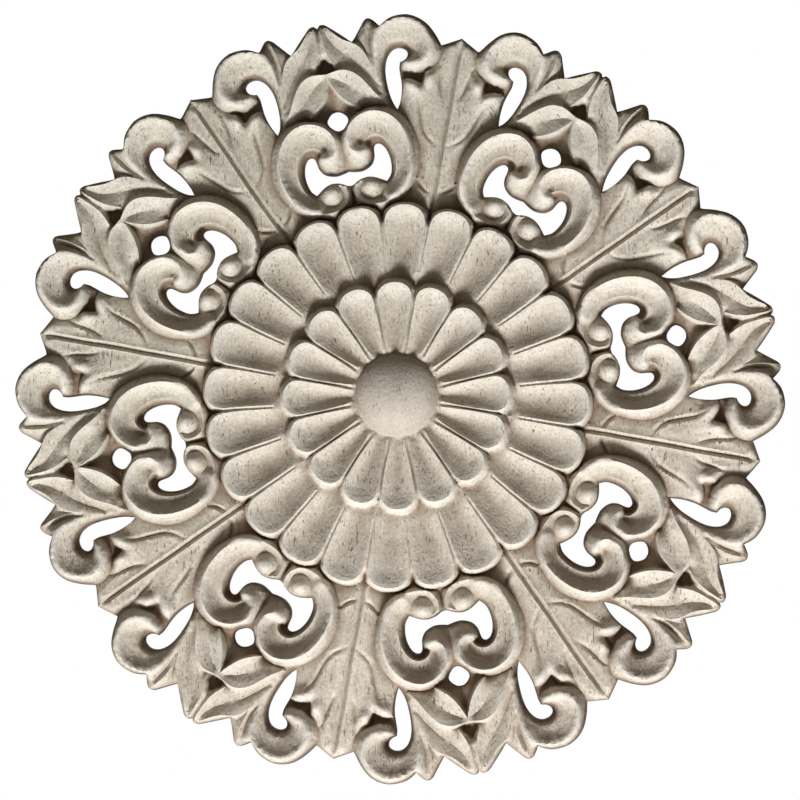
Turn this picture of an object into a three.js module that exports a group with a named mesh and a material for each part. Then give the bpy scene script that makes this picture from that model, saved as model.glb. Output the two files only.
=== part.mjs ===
// A round pierced rosette applique, carved in one piece from a wooden board.
// Millimetres, +Z up. The carved face looks along -Y and the flat back lies in the plane y = 0,
// with the origin at the middle of the back and a leaf rib pointing straight up.

import * as THREE from "three";
import { mergeVertices } from "three/addons/utils/BufferGeometryUtils.js";

// Driving sizes
const RIM_DIAMETER = 300; // across the tips of the outer leaves
const BUTTON_DIAMETER = 31; // the domed button in the middle
const BUTTON_HEIGHT = 20; // back to the top of the dome, the whole thickness of the board
const BUTTON_DOME = 4.2; // rise of the dome above its edge
const INNER_RING_HEIGHT = 16.5; // rim of an inner petal at its tip
const OUTER_RING_HEIGHT = 13.5; // rim of an outer petal at its tip
const PETAL_GROOVE = 1; // how far the groove between two petals lies below their rims
const PETAL_RISE = 0.8; // how much a petal of the inner ring rises towards its tip
const SCOOP_DEPTH = 2.6; // how deep a petal is hollowed below its rim
const SCROLL_HEIGHT = 14; // crest of the large C-scroll
const SCROLL_FALL = 3; // how much its crest falls towards the eye
const SCROLL_EYE_HEIGHT = 5.5; // edge of the large piercing, where the channel of the scroll ends
const HOOK_HEIGHT = 12.5; // crest of the hook-shaped scroll at the rim
const HOOK_FALL = 1.6; // how much its crest falls towards the curled end
const HOOK_EYE_HEIGHT = 4.5; // edge of the slot, where the channel of the hook ends
const BALL_HEIGHT = 11.5; // small ball in the foot of each C-scroll
const INNER_LEAF_HEIGHT = 11.5; // edges of the inner pair of leaves
const OUTER_LEAF_HEIGHT = 10; // edges of the outer pair of leaves
const LEAFLET_HEIGHT = 8.8; // ridge of the leaflet beside the hook
const CREASE_DEPTH = 2.2; // how far the middle of a leaf lies below its edges
const BROAD_LEAF_HEIGHT = 8.4; // the broad low leaf between two units, beside its rib
const RIM_EDGE_HEIGHT = 6; // where the slanted wall of the rim turns down to the back
const PIT_HEIGHT = 3; // wood left at the bottom of a recess
const RIB_GROOVE_DEPTH = 1; // groove along the rib of the broad leaf

// Heights that follow from the driving ones
const PETAL_FOOT_HEIGHT = OUTER_RING_HEIGHT - 2.2; // where the inner petals stand on the outer ring
const LEAF_FOOT_HEIGHT = BROAD_LEAF_HEIGHT - 1.4; // the sunk edge of the broad leaf at a scroll
const SCROLL_START_HEIGHT = BALL_HEIGHT - 1.4; // the low end of the C-scroll, round its ball
const BALL_FOOT_HEIGHT = BALL_HEIGHT - 4.3; // the groove between the ball and the scroll
const HOOK_START_HEIGHT = OUTER_LEAF_HEIGHT - 0.8; // the low end of the hook, in the leaf

// The plan of the carving is drawn as on a carver's pattern, on squares of which 385 reach from
// the centre to the rim. It is drawn for half of one unit only, from the middle of the unit to the
// rib of the broad leaf, and a point is [across, outward] in squares from the middle of the unit.
const UNITS = 8;
const INNER_PETALS = 2 * UNITS;
const OUTER_PETALS = 3 * UNITS;
const SQUARE_COUNT = 385;
const SQUARE = RIM_DIAMETER / 2 / SQUARE_COUNT;
const BUTTON_RADIUS = BUTTON_DIAMETER / 2 / SQUARE;
const HALF_UNIT = Math.PI / UNITS;
const INNER_NOTCH = 106; // from the centre to the notch between two inner petals, in squares
const OUTER_NOTCH = 182.6; // from the centre to the notch between two outer petals, in squares
const RIB_TIP = 368; // from the centre to the tip of the broad leaf's rib, in squares
const SNAP = 1.4; // points drawn closer than this, in squares, are one point
const WOOD_COLOUR = 0xb5a994;

const { lerp } = THREE.MathUtils;

// A point at a distance from the centre of the rosette and an angle from the middle of the unit.
function polar(distance, angle) {
  return [distance * Math.sin(angle), distance * Math.cos(angle)];
}

// Heights that run evenly from one value to another over a number of points.
function ramp(from, to, count) {
  return Array.from({ length: count }, (_, i) => lerp(from, to, i / (count - 1)));
}

// The half unit as drawn: points, each with its height above the back, and the lines between them.
class Pattern {
  points = [];
  lines = [];
  voids = [];

  point([across, outward], height) {
    const near = this.points.findIndex(
      (p) => Math.hypot(p.across - across, p.outward - outward) < SNAP,
    );
    if (near >= 0) return near;
    return this.points.push({ across, outward, height }) - 1;
  }

  // heights is one number, or one number for each point.
  line(places, heights) {
    const indices = places.map((place, i) =>
      this.point(place, Array.isArray(heights) ? heights[i] : heights),
    );
    for (let i = 1; i < indices.length; i++) {
      const [a, b] = [indices[i - 1], indices[i]];
      if (a !== b) this.lines.push([a, b]);
    }
    return indices;
  }

  // The edge of a piercing, or of the rim, with the open side given as a polygon.
  edge(places, heights, closing = []) {
    const indices = this.line(places, heights);
    this.voids.push([...places, ...closing]);
    return indices;
  }
}

// Triangulation of the pattern

function turn(a, b, c) {
  return (b.x - a.x) * (c.y - a.y) - (b.y - a.y) * (c.x - a.x);
}

function insideCircle(a, b, c, p) {
  const [ax, ay, bx, by, cx, cy] = [a.x - p.x, a.y - p.y, b.x - p.x, b.y - p.y, c.x - p.x, c.y - p.y];
  const [aa, bb, cc] = [ax * ax + ay * ay, bx * bx + by * by, cx * cx + cy * cy];
  return ax * (by * cc - cy * bb) - ay * (bx * cc - cx * bb) + aa * (bx * cy - cx * by) > 0;
}

// Triangles over a set of sites, built up by adding one site after another.
function delaunay(sites) {
  const count = sites.length;
  const far = 1e5;
  const all = [...sites, { x: -far, y: -far }, { x: far, y: -far }, { x: 0, y: far }];
  let triangles = [[count, count + 1, count + 2]];
  sites.forEach((site, index) => {
    const rim = new Map();
    triangles = triangles.filter(([a, b, c]) => {
      if (!insideCircle(all[a], all[b], all[c], site)) return true;
      for (const [from, to] of [[a, b], [b, c], [c, a]]) {
        if (!rim.delete(`${to},${from}`)) rim.set(`${from},${to}`, [from, to]);
      }
      return false;
    });
    for (const [from, to] of rim.values()) triangles.push([from, to, index]);
  });
  return triangles.filter((t) => t.every((i) => i < count));
}

// Turns edges that cross a drawn line until the line itself is an edge.
function forceLine(triangles, sites, [from, to]) {
  const crosses = (a, b) =>
    ![a, b].includes(from) &&
    ![a, b].includes(to) &&
    turn(sites[from], sites[to], sites[a]) * turn(sites[from], sites[to], sites[b]) < 0 &&
    turn(sites[a], sites[b], sites[from]) * turn(sites[a], sites[b], sites[to]) < 0;
  const mostTurns = 400;
  for (let turns = 0; turns < mostTurns; turns++) {
    const crossed = [];
    triangles.forEach((t, i) => {
      for (let k = 0; k < 3; k++) {
        const [a, b] = [t[k], t[(k + 1) % 3]];
        if (a < b && crosses(a, b)) crossed.push([i, k]);
      }
    });
    if (!crossed.length) return;
    for (const [i, k] of crossed.slice(turns % crossed.length)) {
      const [a, b, c] = [triangles[i][k], triangles[i][(k + 1) % 3], triangles[i][(k + 2) % 3]];
      const j = triangles.findIndex((t) => t.includes(a) && t.includes(b) && !t.includes(c));
      if (j < 0) continue;
      const d = triangles[j].find((v) => v !== a && v !== b);
      if (turn(sites[c], sites[a], sites[d]) > 0 && turn(sites[d], sites[b], sites[c]) > 0) {
        triangles[i] = [c, a, d];
        triangles[j] = [d, b, c];
        break;
      }
    }
  }
}

function inPolygon([x, y], polygon) {
  let inside = false;
  polygon.forEach(([ax, ay], i) => {
    const [bx, by] = polygon[(i + 1) % polygon.length];
    if (ay > y !== by > y && x < ((bx - ax) * (y - ay)) / (by - ay) + ax) inside = !inside;
  });
  return inside;
}

// Triangles over the drawn points, with every drawn line among their edges and none in a void.
function triangulate(points, lines, voids) {
  const tilt = 1e-4;
  const sites = points.map(({ across, outward }, i) => ({
    x: across + tilt * Math.sin(i * 12.9898),
    y: outward + tilt * Math.sin(i * 78.233),
  }));
  const triangles = delaunay(sites);
  for (const line of lines) forceLine(triangles, sites, line);
  const place = (i) => [points[i].across, points[i].outward];
  return triangles.filter((t) => {
    const [a, b, c] = t.map(place);
    const area = (b[0] - a[0]) * (c[1] - a[1]) - (b[1] - a[1]) * (c[0] - a[0]);
    const middle = [(a[0] + b[0] + c[0]) / 3, (a[1] + b[1] + c[1]) / 3];
    return Math.abs(area) > 0.02 && !voids.some((polygon) => inPolygon(middle, polygon));
  });
}

// What is drawn on the half unit

function drawEdges(pattern) {
  const outside = 460;
  pattern.edge(
    [
      [0, 381], [4, 385], [10, 383.3], [18.5, 375], [25, 368], [31.5, 361], [43.5, 375], [51, 381],
      [57, 378.7], [62.5, 370.5], [71, 376], [81, 377.6], [92, 376.5], [104.5, 369.5], [115.5, 351],
      [119.3, 337.5], polar(RIB_TIP, HALF_UNIT),
    ],
    RIM_EDGE_HEIGHT,
    [polar(outside, HALF_UNIT), polar(outside, HALF_UNIT / 2), [0, outside]],
  );
  pattern.edge(
    [
      [0, 219], [8, 222], [18, 224], [27, 221.5], [36, 216.3], [41, 222], [43.8, 232], [43.5, 243],
      [40, 252], [34.5, 255.7], [30, 253], [29.8, 243], [24, 235.5], [13.5, 231.8], [0, 234.5],
    ],
    [SCROLL_EYE_HEIGHT, ...Array(3).fill(BALL_FOOT_HEIGHT), ...Array(11).fill(SCROLL_EYE_HEIGHT)],
    [[-1, 226]],
  );
  pattern.edge(
    [[0, 295.5], [6, 293.5], [10.6, 287], [7, 279.5], [0, 276]],
    PIT_HEIGHT,
    [[-1, 286]],
  );
  const slot = [
    [61.5, 284], [57.4, 296], [57, 319], [60.5, 334], [66, 342], [74, 345.5], [81, 343.3],
    [83.5, 338], [80, 333], [74, 331.5], [71.5, 325], [71, 311.5], [69, 301],
  ];
  const besideHook = 10;
  const slotHeights = slot.map((_, i) => (i > besideHook ? LEAF_FOOT_HEIGHT : HOOK_EYE_HEIGHT));
  slotHeights[0] = LEAF_FOOT_HEIGHT;
  slotHeights[besideHook] = PIT_HEIGHT;
  pattern.edge([...slot, slot[0]], [...slotHeights, slotHeights[0]]);
}

function drawButton(pattern) {
  const edge = BUTTON_HEIGHT - BUTTON_DOME;
  for (const share of [1, 0.88, 0.62, 0.3]) {
    const height = edge + BUTTON_DOME * Math.sqrt(1 - share * share);
    const ring = [0, HALF_UNIT / 2, HALF_UNIT].map((a) => polar(BUTTON_RADIUS * share, a));
    pattern.line(ring, height);
  }
  pattern.point([0, 0], BUTTON_HEIGHT);
}

// A petal, or one half of it, drawn about a middle line that leans away from the middle of the unit.
// Its own lines are [across, outward] from the middle line, for the half at its right.
function drawPetal(pattern, lean, sides, { rim, floor, foot, rimHeights, floorHeights, footHeight }) {
  const place = (side) => ([across, outward]) => {
    const [x, y] = [side * across, outward];
    return [x * Math.cos(lean) + y * Math.sin(lean), y * Math.cos(lean) - x * Math.sin(lean)];
  };
  for (const side of sides) {
    pattern.line(foot.map(place(side)), footHeight);
    pattern.line(rim.map(place(side)), rimHeights);
    pattern.line(floor.map(place(side)), floorHeights);
  }
}

function drawInnerRing(pattern) {
  const spread = Math.PI / INNER_PETALS;
  const start = BUTTON_RADIUS + 2;
  const low = INNER_RING_HEIGHT - PETAL_RISE;
  for (const angle of [0, HALF_UNIT]) {
    const groove = [BUTTON_RADIUS, 75, INNER_NOTCH].map((r) => polar(r, angle));
    pattern.line(groove, [0, low - PETAL_GROOVE, PETAL_FOOT_HEIGHT]);
  }
  drawPetal(pattern, spread, [1, -1], {
    foot: [polar(INNER_NOTCH, spread), [17, 113], [9, 118], [0, 119.5]],
    rim: [polar(start, 0.85 * spread), [13.2, 75], [17, 99], [14.6, 106], [8, 111.3], [0, 113]],
    floor: [[0, start + 4], [0, 78], [8.5, 96], [0, 103]],
    footHeight: PETAL_FOOT_HEIGHT,
    rimHeights: [low, low, ...ramp(low, INNER_RING_HEIGHT, 3), INNER_RING_HEIGHT],
    floorHeights: [
      low - SCOOP_DEPTH / 2, low - SCOOP_DEPTH, low - SCOOP_DEPTH,
      INNER_RING_HEIGHT - SCOOP_DEPTH * 0.7,
    ],
  });
}

function drawOuterRing(pattern) {
  const spread = Math.PI / OUTER_PETALS;
  const low = OUTER_RING_HEIGHT - PETAL_RISE / 2;
  for (const [angle, start] of [[spread, 118.5], [HALF_UNIT, INNER_NOTCH]]) {
    const groove = [start, 150, OUTER_NOTCH].map((r) => polar(r, angle));
    pattern.line(groove, [0, low - PETAL_GROOVE, LEAF_FOOT_HEIGHT]);
  }
  const shapes = {
    foot: [polar(OUTER_NOTCH, spread), [18, 189.5], [10, 193.8], [0, 196]],
    rim: [[15.2, 127], [18, 152], [20.3, 174], [17.5, 183], [10, 189.3], [0, 191.5]],
    floor: [[0, 134], [0, 158], [10.5, 172], [0, 182]],
    footHeight: LEAF_FOOT_HEIGHT,
    rimHeights: [low, low, ...Array(4).fill(OUTER_RING_HEIGHT)],
    floorHeights: [
      low - SCOOP_DEPTH / 2, low - SCOOP_DEPTH, OUTER_RING_HEIGHT - SCOOP_DEPTH,
      OUTER_RING_HEIGHT - SCOOP_DEPTH * 0.7,
    ],
  };
  drawPetal(pattern, 0, [1], shapes);
  drawPetal(pattern, 2 * spread, [1, -1], shapes);
}

// The large C-scroll, from the curl round its ball out and back in to the eye.
function drawScroll(pattern) {
  const low = SCROLL_START_HEIGHT;
  const crest = [
    [4.5, 218], [4, 208.5], [8, 200], [16, 196], [28, 193.6], [42, 196.4], [54, 205.5], [62.5, 219],
    [66.5, 238], [65.2, 255], [59, 269.5], [48, 280.3], [35, 285], [22, 282.3], [11.5, 274.8],
    [6, 264], [7, 254], [13, 248.6], [19, 247.6], [25, 249.3], [30, 253],
  ];
  const crestHeights = [
    ...Array(4).fill(low), ...ramp(low, SCROLL_HEIGHT, 5), ...Array(7).fill(SCROLL_HEIGHT),
    ...ramp(SCROLL_HEIGHT, SCROLL_HEIGHT - SCROLL_FALL, 4), SCROLL_EYE_HEIGHT,
  ];
  pattern.line(crest, crestHeights);
  const shoulder = [
    [36, 205], [45, 213], [49.8, 226], [50.5, 240], [47.5, 252], [40.5, 262], [30, 265.5],
    [21.5, 262], [20, 256.3], [25, 253.3],
  ];
  pattern.line(shoulder, low);
  const wallFoot = [
    [57, 198.5], [68, 211], [75, 225], [77.2, 240], [76, 257], [69.5, 273], [54, 287.5],
    [44, 291.3], [26, 291],
  ];
  pattern.line(wallFoot, LEAF_FOOT_HEIGHT);
  const middleLine = [[0, 276], [0, 265], [0, 252], [0, 234.5]];
  pattern.line(middleLine, [0, low - 1, low - 2, 0]);
}

function drawBall(pattern) {
  const [across, outward] = [20.5, 211.5];
  const [radius, sides, bulgeDrop] = [7, 6, 1];
  const ring = [[36, 216.3], [34, 209], [28.5, 202.3], [20.5, 199.6], [12.5, 202.6], [9, 208.5], [8, 222]];
  pattern.line(ring, BALL_FOOT_HEIGHT);
  const bulge = Array.from({ length: sides }, (_, i) => {
    const angle = (2 * Math.PI * i) / sides;
    return [across + radius * Math.cos(angle), outward + radius * Math.sin(angle)];
  });
  pattern.line([...bulge, bulge[0]], BALL_HEIGHT - bulgeDrop);
  pattern.point([across, outward], BALL_HEIGHT);
  pattern.line([[0, 219], [0, 208], [0, 200]], SCROLL_EYE_HEIGHT);
}

function drawInnerLeaf(pattern) {
  const nearEdge = [[0, 327], [3, 320], [7, 311.5], [12.5, 303.5], [18.5, 297.5], [26, 291]];
  pattern.line(nearEdge, INNER_LEAF_HEIGHT);
  const valley = [[5, 326.5], [13, 322], [20, 316], [28, 307.5], [36, 299], [44, 291.3]];
  pattern.line(valley, INNER_LEAF_HEIGHT - CREASE_DEPTH);
  const farEdge = [[0, 330.5], [8, 332], [17, 332.4], [26, 329], [33, 321.5], [39, 311.5], [45, 300], [54, 287.5]];
  pattern.line(farEdge, INNER_LEAF_HEIGHT);
  const farFoot = [[10.8, 335.6], [19, 335.6], [28, 332], [36, 323.5], [42, 313]];
  pattern.line(farFoot, OUTER_LEAF_HEIGHT - CREASE_DEPTH / 2);
}

function drawOuterLeaf(pattern) {
  const nearEdge = [[3, 378], [3.5, 364], [4.8, 352], [7.5, 344.5], [10.8, 335.6]];
  pattern.line(nearEdge, OUTER_LEAF_HEIGHT);
  pattern.line([[0, 381], [0, 364], [0, 352.5]], OUTER_LEAF_HEIGHT - CREASE_DEPTH / 2);
  const valley = [[7, 377], [9, 368], [13.5, 358.5], [20, 350.5], [28, 342.3], [36, 332], [42.5, 322], [49, 308]];
  pattern.line(valley, OUTER_LEAF_HEIGHT - CREASE_DEPTH);
  const farEdge = [[11.5, 376.5], [17.5, 367.5], [24, 362], [31.5, 357], [39, 350], [43.3, 341], [47, 328], [50.5, 314]];
  pattern.line(farEdge, ramp(OUTER_LEAF_HEIGHT, LEAFLET_HEIGHT, 8));
}

function drawLeaflet(pattern) {
  const ridge = [[43.3, 341], [44.7, 353], [46, 364], [50, 376.5]];
  pattern.line(ridge, LEAFLET_HEIGHT);
  const crease = [[48.5, 339], [48.4, 350], [49.3, 360], [53, 373]];
  pattern.line(crease, LEAFLET_HEIGHT - CREASE_DEPTH);
}

// The hook-shaped scroll at the rim, from its stem beside the slot to its curled end.
function drawHook(pattern) {
  const crest = [
    [50.8, 336], [50.9, 346], [53.2, 356.5], [59, 364], [68.5, 369], [80, 370.7], [92, 368.3],
    [101.5, 361], [108, 349.5], [109, 337.5], [104.5, 328], [96.5, 323.3], [87.5, 323],
    [80, 327], [74, 331.5],
  ];
  const crestHeights = [
    ...ramp(HOOK_START_HEIGHT, HOOK_HEIGHT, 5), ...Array(7).fill(HOOK_HEIGHT),
    ...ramp(HOOK_HEIGHT, HOOK_HEIGHT - HOOK_FALL, 3).slice(1), 0,
  ];
  pattern.line(crest, crestHeights);
  const shoulder = [
    [54.3, 299], [53.5, 317], [55, 333], [60, 344.5], [70, 351], [80.5, 350], [87.3, 343.5],
    [88.3, 335.5], [83.5, 329.5],
  ];
  pattern.line(shoulder, HOOK_START_HEIGHT);
  const foot = [[119.3, 337.5], [113, 322.5], [104.5, 316], [96.5, 315]];
  pattern.line(foot, LEAF_FOOT_HEIGHT);
  const overPit = [[96.5, 315], [86, 315], [77, 318.3], [71.5, 325]];
  pattern.line(overPit, HOOK_EYE_HEIGHT);
}

// The floors of the closed recesses: between the leaf pairs, and under the curl of the hook.
function drawPits(pattern) {
  pattern.line([[0, 347], [6, 339], [5, 335.5], [0, 335]], PIT_HEIGHT);
  const brink = [[71, 311.5], [80, 310.5], [86, 307.3], [91, 302], [94, 307], [96.5, 315]];
  pattern.line(brink, BROAD_LEAF_HEIGHT);
  pattern.line([[74, 316], [81, 313.3], [91, 306], [92.5, 312]], PIT_HEIGHT);
}

function drawBroadLeaf(pattern) {
  const shoulderOffset = 3.2;
  const distances = [OUTER_NOTCH, 230, 290, 340, RIB_TIP];
  const rib = distances.map((r) => polar(r, HALF_UNIT));
  pattern.line(rib, BROAD_LEAF_HEIGHT - RIB_GROOVE_DEPTH);
  const shoulder = distances.slice(1, -1).map((r) => polar(r, HALF_UNIT - shoulderOffset / r));
  pattern.line(shoulder, BROAD_LEAF_HEIGHT);
  pattern.point([92, 285], BROAD_LEAF_HEIGHT);
  pattern.point([88, 240], BROAD_LEAF_HEIGHT);
}

// The solid

function halfUnit() {
  const pattern = new Pattern();
  drawEdges(pattern);
  drawButton(pattern);
  drawInnerRing(pattern);
  drawOuterRing(pattern);
  drawScroll(pattern);
  drawBall(pattern);
  drawInnerLeaf(pattern);
  drawOuterLeaf(pattern);
  drawLeaflet(pattern);
  drawHook(pattern);
  drawPits(pattern);
  drawBroadLeaf(pattern);
  return pattern;
}

// The directed edges of a set of triangles that belong to one triangle only.
function openEdges(triangles) {
  const open = new Map();
  for (const [a, b, c] of triangles) {
    for (const [from, to] of [[a, b], [b, c], [c, a]]) {
      if (!open.delete(`${to},${from}`)) open.set(`${from},${to}`, [from, to]);
    }
  }
  return [...open.values()];
}

// How far a point lies from the straight sides of the half unit, in squares.
function fromSeam({ across, outward }) {
  const fromRib = Math.abs(across * Math.cos(HALF_UNIT) - outward * Math.sin(HALF_UNIT));
  return Math.min(Math.abs(across), fromRib);
}

// The carved top, the flat underside and the walls between them, as corners of triangles.
function halfUnitCorners() {
  const { points, lines, voids } = halfUnit();
  const top = triangulate(points, lines, voids);
  const onSeam = (i) => fromSeam(points[i]) < 1e-6;
  const walls = openEdges(top).filter(([a, b]) => !(onSeam(a) && onSeam(b)));
  const used = new Set([...walls.flat(), points.findIndex((p) => p.outward === 0)]);
  const edgePoints = [...used];
  const underLines = walls.map(([a, b]) => [edgePoints.indexOf(a), edgePoints.indexOf(b)]);
  const underside = triangulate(edgePoints.map((i) => points[i]), underLines, voids);
  const corner = (i, raised) => {
    const { across, outward, height } = points[i];
    return [across * SQUARE, outward * SQUARE, raised ? height : 0];
  };
  const corners = [];
  for (const [a, b, c] of top) corners.push(corner(a, true), corner(b, true), corner(c, true));
  for (const [a, b] of walls) {
    corners.push(corner(b, true), corner(a, true), corner(a, false));
    corners.push(corner(b, true), corner(a, false), corner(b, false));
  }
  for (const [a, b, c] of underside) {
    corners.push(...[a, c, b].map((i) => corner(edgePoints[i], false)));
  }
  return corners;
}

// Every unit in its place, as two mirrored halves, with the points on their shared lines made one.
function rosetteGeometry() {
  const corners = halfUnitCorners();
  const positions = [];
  for (let unit = 0; unit < UNITS; unit++) {
    const angle = HALF_UNIT + 2 * HALF_UNIT * unit;
    const [cos, sin] = [Math.cos(angle), Math.sin(angle)];
    const place = ([x, y, z]) => [x * cos + y * sin, y * cos - x * sin, z];
    for (let i = 0; i < corners.length; i += 3) {
      const [a, b, c] = corners.slice(i, i + 3);
      positions.push(...[a, b, c].flatMap(place));
      positions.push(...[a, c, b].flatMap(([x, y, z]) => place([-x, y, z])));
    }
  }
  const loose = new THREE.BufferGeometry();
  loose.setAttribute("position", new THREE.Float32BufferAttribute(positions, 3));
  return mergeVertices(loose, 1e-3);
}

const wood = new THREE.MeshStandardMaterial({ color: WOOD_COLOUR, roughness: 0.75, metalness: 0 });
const geometry = rosetteGeometry();
geometry.computeVertexNormals();
const carved = new THREE.Mesh(geometry, wood);
carved.name = "carved_rosette";
carved.rotation.x = Math.PI / 2; // the pattern stands upright, its heights towards -Y

const group = new THREE.Group();
group.add(carved);
export default group;
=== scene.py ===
"""The looks of a round, pierced, carved wood rosette applique.

The carving is modelled as one height field over half of one of its eight like units. Curves that a
carver would draw, each with its height above the back, are laid into a fine mesh, and the wood
between them is found as the smoothest surface that passes them. The half unit is then mirrored and
repeated round the centre, given the small unevenness of hand work, and painted as bare pale wood,
with painted shade in its hollows and painted highlights on its crests.
"""
import math

import bpy
import numpy as np
from mathutils import Matrix, Vector
from mathutils.geometry import delaunay_2d_cdt


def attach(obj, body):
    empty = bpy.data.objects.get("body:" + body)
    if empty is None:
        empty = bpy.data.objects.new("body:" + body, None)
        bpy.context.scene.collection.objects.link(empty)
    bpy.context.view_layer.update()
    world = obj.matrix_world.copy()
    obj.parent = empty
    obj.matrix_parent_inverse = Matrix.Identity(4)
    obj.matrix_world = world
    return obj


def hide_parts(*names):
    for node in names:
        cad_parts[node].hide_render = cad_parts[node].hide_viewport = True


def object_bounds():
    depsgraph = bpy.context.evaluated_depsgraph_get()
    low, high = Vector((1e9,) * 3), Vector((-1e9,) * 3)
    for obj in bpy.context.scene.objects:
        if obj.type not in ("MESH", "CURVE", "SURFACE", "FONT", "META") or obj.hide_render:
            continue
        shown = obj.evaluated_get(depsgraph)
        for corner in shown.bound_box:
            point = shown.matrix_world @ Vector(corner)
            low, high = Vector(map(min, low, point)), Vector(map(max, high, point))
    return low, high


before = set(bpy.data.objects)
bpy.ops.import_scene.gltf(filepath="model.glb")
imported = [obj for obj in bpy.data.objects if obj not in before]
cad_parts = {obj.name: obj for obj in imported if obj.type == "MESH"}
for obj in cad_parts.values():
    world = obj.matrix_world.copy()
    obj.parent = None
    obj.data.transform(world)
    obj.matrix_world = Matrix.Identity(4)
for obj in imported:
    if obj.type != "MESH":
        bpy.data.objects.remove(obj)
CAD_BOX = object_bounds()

# Sizes of the carving, in millimetres
RIM_DIAMETER = 300.0
BUTTON_DIAMETER = 31.0
BUTTON_HEIGHT = 20.0
BUTTON_DOME = 6.2
INNER_RING_HEIGHT = 15.9
OUTER_RING_HEIGHT = 13.5
INNER_PETAL_RISE = 2.6
OUTER_PETAL_RISE = 1.3
SCOOP_DEPTH = 3.8
SCROLL_HEIGHT = 14.0
SCROLL_FALL = 3.0
SCROLL_EYE_HEIGHT = 5.5
HOOK_HEIGHT = 12.5
HOOK_FALL = 1.6
HOOK_EYE_HEIGHT = 4.5
BALL_HEIGHT = 11.5
INNER_LEAF_HEIGHT = 11.5
OUTER_LEAF_HEIGHT = 10.0
LEAFLET_HEIGHT = 8.8
CREASE_DEPTH = 2.2
BROAD_LEAF_HEIGHT = 8.4
RIM_EDGE_HEIGHT = 6.0
PIT_HEIGHT = 3.0
LEAF_FOOT_HEIGHT = BROAD_LEAF_HEIGHT - 1.4
PETAL_FOOT_HEIGHT = OUTER_RING_HEIGHT - 2.2

# The pattern is drawn on squares, of which 385 reach from the centre to the rim
UNITS = 8
HALF_UNIT = math.pi / UNITS
PATTERN_SQUARES = 385.0
SQUARE = RIM_DIAMETER / 2 / PATTERN_SQUARES
BUTTON_RADIUS = BUTTON_DIAMETER / 2 / SQUARE
INNER_SPREAD = math.pi / 16
OUTER_SPREAD = math.pi / 24
RIB_LENGTH = 368.0
RIB_NORMAL = np.array([math.cos(HALF_UNIT), -math.sin(HALF_UNIT)])
PETALS_END = 186.0

# Spacing of the mesh, in squares: along a curve, in the unit and in the petals
STEP_CURVE = 2.3
STEP_UNIT = 2.45
STEP_PETAL = 3.0
ROW_SHARE = 0.866

# Nearness, in squares: of fill points to curves and sides, and of points that are set on a side or made one
CLEAR_OF_CURVES = 1.45
CLEAR_OF_SIDES = 1.0
SETTLE = 0.35
SNAP = 0.28
ON_SIDE = 0.05

# The kinds of curve by rank, and how firmly the surface keeps to each rank
RANK = {"edge": 4, "crease": 3, "ridge": 3, "rim": 2, "round": 1}
EDGE_RANK, RIM_RANK = 4, 2
HOLD = {4: 60.0, 3: 60.0, 2: 10.0, 1: 4.0}
SCOOP_HOLD = 5.0
BUTTON_HOLD = 40.0
SMOOTHING = 1.2
THINNEST = 1.0

# Grooves: depth and lip in millimetres, reach in squares
RIB_GROOVE_DEPTH, RIB_GROOVE_REACH, RIB_LIP = 1.5, 3.3, 0.45
VEIN_DEPTH, VEIN_REACH, VEIN_LIP = 1.45, 2.6, 0.3
MOAT_DEPTH, MOAT_WIDTH = 1.6, 2.4

# The photograph is rolled by this much, and the grain runs up and down in it
ROLL = math.radians(10.16)

# The slant of the walls and how far it draws the face in, in squares, and where the bend in them lies
DRAFT = 1.3
DRAFT_REACH = 6.0
BEND_HEIGHT = 0.45
BEND_OUT = 0.75

# How far the wood around a place is looked at for its hollowness, which sets the painted shade in the
# hollows, and the dirt of the walls on that scale
HOLLOW_ROUNDS = 60
WALL_DIRT = 2.0

# The unevenness of hand work, in metres: sideways, and in height over long and over short waves
WANDER = 0.00011
LONG_LIFT = 0.00012
SHORT_LIFT = 0.00005


def polar(distance, angle):
    return (distance * math.sin(angle), distance * math.cos(angle))


def ramp(a, b, n):
    return [a + (b - a) * i / (n - 1) for i in range(n)]


# Curves

def smooth_run(points, values, step):
    """Points along a smooth curve through the given ones, evenly spaced, with the values run along."""
    p = np.array(points, float)
    v = np.array(values, float)
    if len(p) == 2:
        dense, dense_v = p, v
    else:
        head = 2 * p[0] - p[1]
        tail = 2 * p[-1] - p[-2]
        q = np.vstack([head, p, tail])
        dense, dense_v = [], []
        for i in range(1, len(q) - 2):
            t = np.linspace(0, 1, 12, endpoint=False)[:, None]
            k = np.sqrt(np.maximum(np.linalg.norm(np.diff(q[i - 1:i + 3], axis=0), axis=1), 1e-6))
            t0, t1 = 0.0, k[0]
            t2, t3 = k[0] + k[1], k[0] + k[1] + k[2]
            tt = t1 + (t2 - t1) * t
            a1 = (t1 - tt) / (t1 - t0) * q[i - 1] + (tt - t0) / (t1 - t0) * q[i]
            a2 = (t2 - tt) / (t2 - t1) * q[i] + (tt - t1) / (t2 - t1) * q[i + 1]
            a3 = (t3 - tt) / (t3 - t2) * q[i + 1] + (tt - t2) / (t3 - t2) * q[i + 2]
            b1 = (t2 - tt) / (t2 - t0) * a1 + (tt - t0) / (t2 - t0) * a2
            b2 = (t3 - tt) / (t3 - t1) * a2 + (tt - t1) / (t3 - t1) * a3
            dense.append((t2 - tt) / (t2 - t1) * b1 + (tt - t1) / (t2 - t1) * b2)
            dense_v.append(v[i - 1] + (v[i] - v[i - 1]) * t[:, 0])
        dense = np.vstack(dense + [p[-1:]])
        dense_v = np.concatenate(dense_v + [v[-1:]])
    length = np.concatenate([[0], np.cumsum(np.linalg.norm(np.diff(dense, axis=0), axis=1))])
    count = max(2, int(round(length[-1] / step)) + 1)
    at = np.linspace(0, length[-1], count)
    out = np.column_stack([np.interp(at, length, dense[:, 0]), np.interp(at, length, dense[:, 1])])
    return out, np.interp(at, length, dense_v)


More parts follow.
